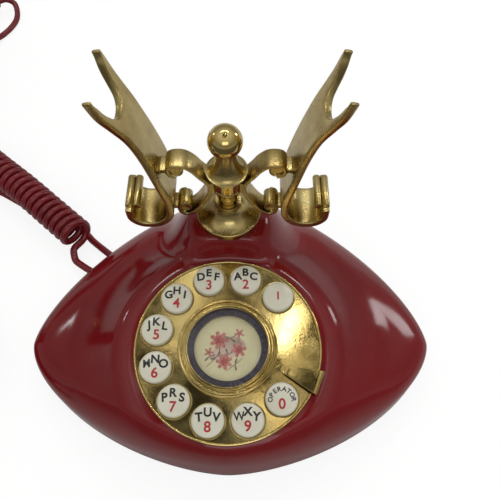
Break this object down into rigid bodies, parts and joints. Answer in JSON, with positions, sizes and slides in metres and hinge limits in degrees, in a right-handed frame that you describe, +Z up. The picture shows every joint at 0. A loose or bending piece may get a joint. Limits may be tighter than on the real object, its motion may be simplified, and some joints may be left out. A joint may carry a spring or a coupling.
{
  "type": "telephone",
  "caption": "Ornamental desk telephone: lens-shaped red body, gilt push-key dial with picture centre, forked scroll cradle, curly-corded handset.",
  "frame": {"origin": "on the table, under the line through the two side tips of the body, at mid width; on the underside of the felt pad", "axes": "+Z up, +X to the user's right, -Y towards the user"},
  "size_m": [0.3095, 0.3067, 0.1379],
  "materials": {
    "body_plastic": "glossy deep red moulding",
    "gilt": "polished gilt with light tarnish",
    "gong_brass": "lacquered brass",
    "key_cream": "glossy cream-white",
    "felt": "black felt",
    "steel": "zinc-plated steel",
    "black_plastic": "black moulding",
    "silicone": "pale silicone",
    "board": "phenolic circuit board",
    "coil_wrap": "varnished winding",
    "core": "laminated iron",
    "film_can": "yellow film capacitor",
    "spacer": "dark grey-purple",
    "card": "printed card",
    "lens": "clear flat lens",
    "cord": "dark red PVC",
    "plug_clear": "clear polycarbonate"
  },
  "bodies": {
    "base": {"body_shell": "body_plastic", "base_pad": "felt", "base_plate": "steel", "base_screws": "steel", "dial_plate": "gilt", "finger_stop": "gilt", "medallion_bezel": "gilt", "medallion_spacer": "spacer", "picture_card": "card", "medallion_lens": "lens", "key_frame": "black_plastic", "dome_mat": "silicone", "key_board": "board", "dial_nuts": "steel", "cradle_bell": "gilt", "post_guide": "steel", "cradle_spring": "steel", "hook_switch": "black_plastic", "ringer_frame": "steel", "ringer_gong": "gong_brass", "ringer_coil": "coil_wrap", "network_board": "board", "induction_coil": "core", "capacitor": "film_can", "handset_cord_grommet": "cord", "line_cord_grommet": "cord", "cord_tail_base": "cord", "cord_curl": "cord", "cord_tail_handset": "cord", "line_cord": "cord", "line_cord_coil": "cord", "line_plug": "plug_clear"},
    "cradle": {"cradle_post": "gilt", "post_collar": "steel", "waist_collar": "gilt", "finial_disc": "gilt", "ball_knob": "gilt", "left_arm": "gilt", "right_arm": "gilt", "left_scroll": "gilt", "right_scroll": "gilt"},
    "switch_lever": {"hook_lever": "steel"},
    "clapper": {"ringer_clapper": "steel"},
    "key_1_body": {"key_1": "key_cream"},
    "key_2_body": {"key_2": "key_cream"},
    "key_3_body": {"key_3": "key_cream"},
    "key_4_body": {"key_4": "key_cream"},
    "key_5_body": {"key_5": "key_cream"},
    "key_6_body": {"key_6": "key_cream"},
    "key_7_body": {"key_7": "key_cream"},
    "key_8_body": {"key_8": "key_cream"},
    "key_9_body": {"key_9": "key_cream"},
    "key_0_body": {"key_0": "key_cream"},
    "handset": {"handle": "body_plastic", "handle_ferrules": "gilt", "ear_cup": "body_plastic", "mouth_cup": "body_plastic", "receiver_capsule": "black_plastic", "transmitter_capsule": "black_plastic", "handset_grommet": "gilt"}
  },
  "joints": [
    {"name": "cradle_press", "type": "slide", "parent": "base", "child": "cradle", "axis": [0, 0, 1], "range_m": [-0.003, 0], "stiffness_N_per_m": 400, "springref_m": 0.012, "deforming": ["cradle_spring"]},
    {"name": "switch_lever_turn", "type": "hinge", "parent": "base", "child": "switch_lever", "pos_m": [0, 0.014, 0.0312], "axis": [1, 0, 0], "range_deg": [-12, 0]},
    {"name": "clapper_swing", "type": "hinge", "parent": "base", "child": "clapper", "pos_m": [-0.0328, 0.0198, 0.01], "axis": [0, 0, 1], "range_deg": [-3, 2.5], "stiffness_Nm_per_rad": 0.01},
    {"name": "key_1_press", "type": "slide", "parent": "base", "child": "key_1_body", "axis": [0, -0.1045, 0.9945], "range_m": [-0.0015, 0], "stiffness_N_per_m": 200, "springref_m": 0.003},
    {"name": "key_2_press", "type": "slide", "parent": "base", "child": "key_2_body", "axis": [0, -0.1045, 0.9945], "range_m": [-0.0015, 0], "stiffness_N_per_m": 200, "springref_m": 0.003},
    {"name": "key_3_press", "type": "slide", "parent": "base", "child": "key_3_body", "axis": [0, -0.1045, 0.9945], "range_m": [-0.0015, 0], "stiffness_N_per_m": 200, "springref_m": 0.003},
    {"name": "key_4_press", "type": "slide", "parent": "base", "child": "key_4_body", "axis": [0, -0.1045, 0.9945], "range_m": [-0.0015, 0], "stiffness_N_per_m": 200, "springref_m": 0.003},
    {"name": "key_5_press", "type": "slide", "parent": "base", "child": "key_5_body", "axis": [0, -0.1045, 0.9945], "range_m": [-0.0015, 0], "stiffness_N_per_m": 200, "springref_m": 0.003},
    {"name": "key_6_press", "type": "slide", "parent": "base", "child": "key_6_body", "axis": [0, -0.1045, 0.9945], "range_m": [-0.0015, 0], "stiffness_N_per_m": 200, "springref_m": 0.003},
    {"name": "key_7_press", "type": "slide", "parent": "base", "child": "key_7_body", "axis": [0, -0.1045, 0.9945], "range_m": [-0.0015, 0], "stiffness_N_per_m": 200, "springref_m": 0.003},
    {"name": "key_8_press", "type": "slide", "parent": "base", "child": "key_8_body", "axis": [0, -0.1045, 0.9945], "range_m": [-0.0015, 0], "stiffness_N_per_m": 200, "springref_m": 0.003},
    {"name": "key_9_press", "type": "slide", "parent": "base", "child": "key_9_body", "axis": [0, -0.1045, 0.9945], "range_m": [-0.0015, 0], "stiffness_N_per_m": 200, "springref_m": 0.003},
    {"name": "key_0_press", "type": "slide", "parent": "base", "child": "key_0_body", "axis": [0, -0.1045, 0.9945], "range_m": [-0.0015, 0], "stiffness_N_per_m": 200, "springref_m": 0.003},
    {"name": "handset_lift", "type": "slide", "parent": "base", "child": "handset", "axis": [0, 0, 1], "range_m": [0, 0.15]}
  ],
  "couplings": [
    {"joint": "switch_lever_turn", "follows": "cradle_press", "rad_per_m": 67}
  ]
}
